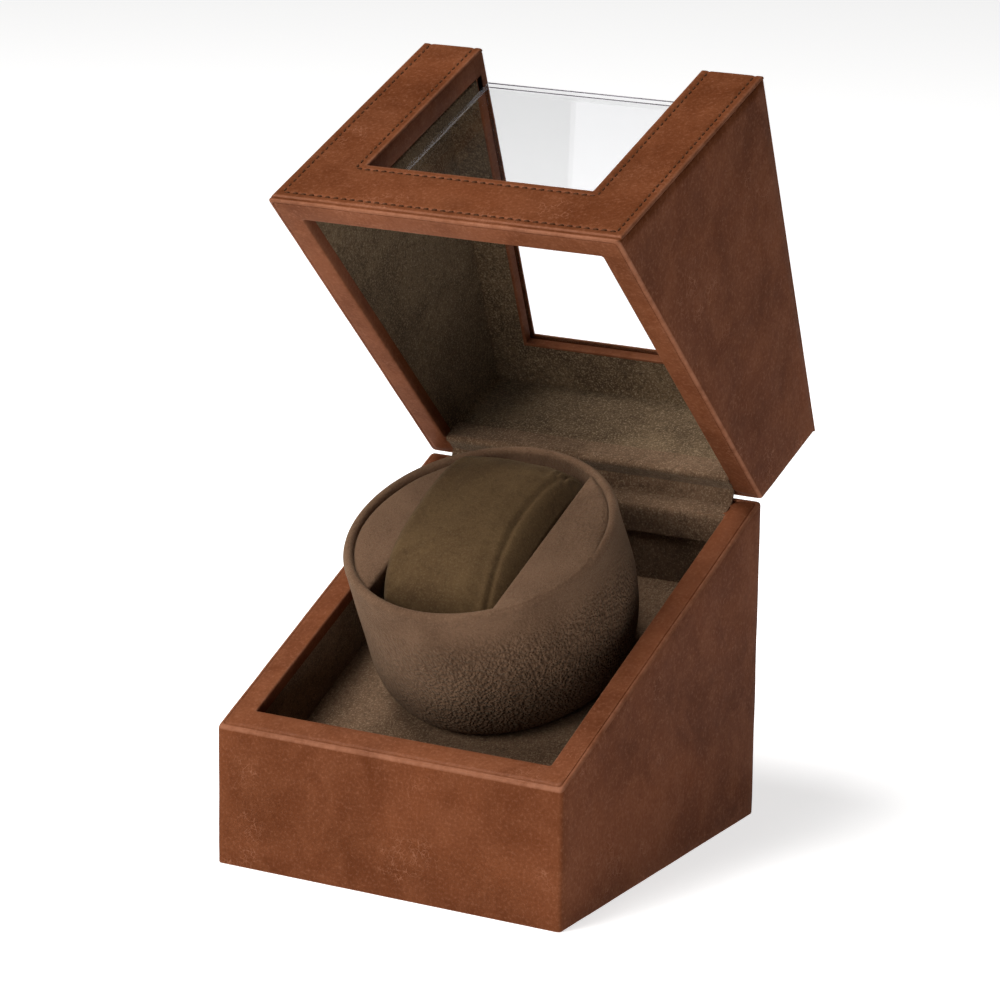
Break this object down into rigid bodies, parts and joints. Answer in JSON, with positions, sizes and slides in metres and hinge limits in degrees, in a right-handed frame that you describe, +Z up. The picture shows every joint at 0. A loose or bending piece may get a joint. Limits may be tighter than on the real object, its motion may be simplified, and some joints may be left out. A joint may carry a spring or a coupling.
{
  "type": "watch winder box",
  "caption": "Leather-covered watch winder box with a glazed hinged lid, a sloping base and a tilted motor-driven drum that holds a watch pillow.",
  "frame": {"origin": "centre of the base's underside, which is level with the surface it stands on", "axes": "+Z up, -Y the front, +Y the rear where the lid is hinged, +X to the right seen from the front; millimetre model, drawn with its lid open at 69 degrees"},
  "size_m": [0.13, 0.182, 0.2588],
  "materials": {
    "leather": "semi-gloss, fine grain",
    "lining_suede": "speckled suede",
    "pillow_suede": "soft suede",
    "foam": "open foam",
    "felt": "felt",
    "board": "bare board",
    "brass": "satin",
    "steel": "satin",
    "magnet": "bright nickel",
    "black_plastic": "fine texture",
    "switch_plastic": "gloss",
    "gear_plastic": "moulded",
    "glass": "clear",
    "circuit": "solder mask",
    "components": "moulded",
    "wire": "insulated"
  },
  "bodies": {
    "base": {"felt_pad": "felt", "floor_board": "board", "front_board": "board", "rear_board": "board", "side_boards": "board", "base_leather": "leather", "base_lining": "lining_suede", "base_hinge_liner": "lining_suede", "deck_board": "board", "deck_suede": "lining_suede", "deck_cleats": "board", "base_magnets": "magnet", "hinge_base_leaves": "brass", "hinge_pins": "brass", "hinge_base_screws": "brass", "control_plate": "black_plastic", "plate_screws": "steel", "selector_switch": "black_plastic", "rocker_housing": "black_plastic", "dc_inlet": "black_plastic", "circuit_board": "circuit", "board_spacers": "brass", "board_parts": "components", "internal_wiring": "wire", "gearbox_cover": "gear_plastic", "gearbox_tray": "gear_plastic", "gearbox_screws": "steel", "idler_axle": "steel", "motor_can": "steel", "drum_bush": "brass"},
    "lid": {"lid_front_board": "board", "lid_side_boards": "board", "lid_rear_board": "board", "lid_top_board": "board", "lid_leather": "leather", "lid_lining": "lining_suede", "lid_hinge_liner": "lining_suede", "front_frame": "leather", "top_frame": "leather", "glazing_frame": "lining_suede", "front_glass": "glass", "top_glass": "glass", "lid_magnets": "magnet", "hinge_lid_leaves": "brass", "hinge_lid_screws": "brass"},
    "drum": {"drum_cover": "lining_suede", "drum_cup": "black_plastic", "drum_cheeks": "lining_suede", "drum_spindle": "steel", "spindle_clip": "steel", "hub_screw": "steel", "output_gear": "gear_plastic"},
    "pillow": {"pillow_cover": "pillow_suede", "pillow_core": "foam"},
    "idler": {"idler_gear": "gear_plastic"},
    "rotor": {"motor_rotor": "steel", "motor_pinion": "brass"},
    "knob": {"selector_shaft": "steel", "selector_knob": "black_plastic"},
    "rocker": {"rocker": "switch_plastic"}
  },
  "joints": [
    {"name": "lid_hinge", "type": "hinge", "parent": "base", "child": "lid", "pos_m": [0, 0.07, 0.112], "axis": [-1, 0, 0], "range_deg": [-69, 26]},
    {"name": "drum_spin", "type": "hinge", "parent": "base", "child": "drum", "pos_m": [0, 0.0134, 0.05919], "axis": [0, -0.4158, 0.9095], "continuous": true},
    {"name": "pillow_lift", "type": "slide", "parent": "drum", "child": "pillow", "axis": [0, -0.4158, 0.9095], "range_m": [0, 0.055]},
    {"name": "knob_turn", "type": "hinge", "parent": "base", "child": "knob", "pos_m": [-0.021, 0.0714, 0.028], "axis": [0, 1, 0], "range_deg": [-90, 90]},
    {"name": "rocker_tilt", "type": "hinge", "parent": "base", "child": "rocker", "pos_m": [0, 0.0694, 0.028], "axis": [-1, 0, 0], "range_deg": [0, 16]},
    {"name": "idler_spin", "type": "hinge", "parent": "base", "child": "idler", "pos_m": [0.02042, 0.007, 0.05626], "axis": [0, -0.4158, 0.9095], "continuous": true},
    {"name": "motor_spin", "type": "hinge", "parent": "base", "child": "rotor", "pos_m": [0.00792, -0.00477, 0.05088], "axis": [0, -0.4158, 0.9095], "continuous": true}
  ],
  "couplings": [
    {"joint": "idler_spin", "follows": "drum_spin", "ratio": -5},
    {"joint": "motor_spin", "follows": "drum_spin", "ratio": 20}
  ]
}
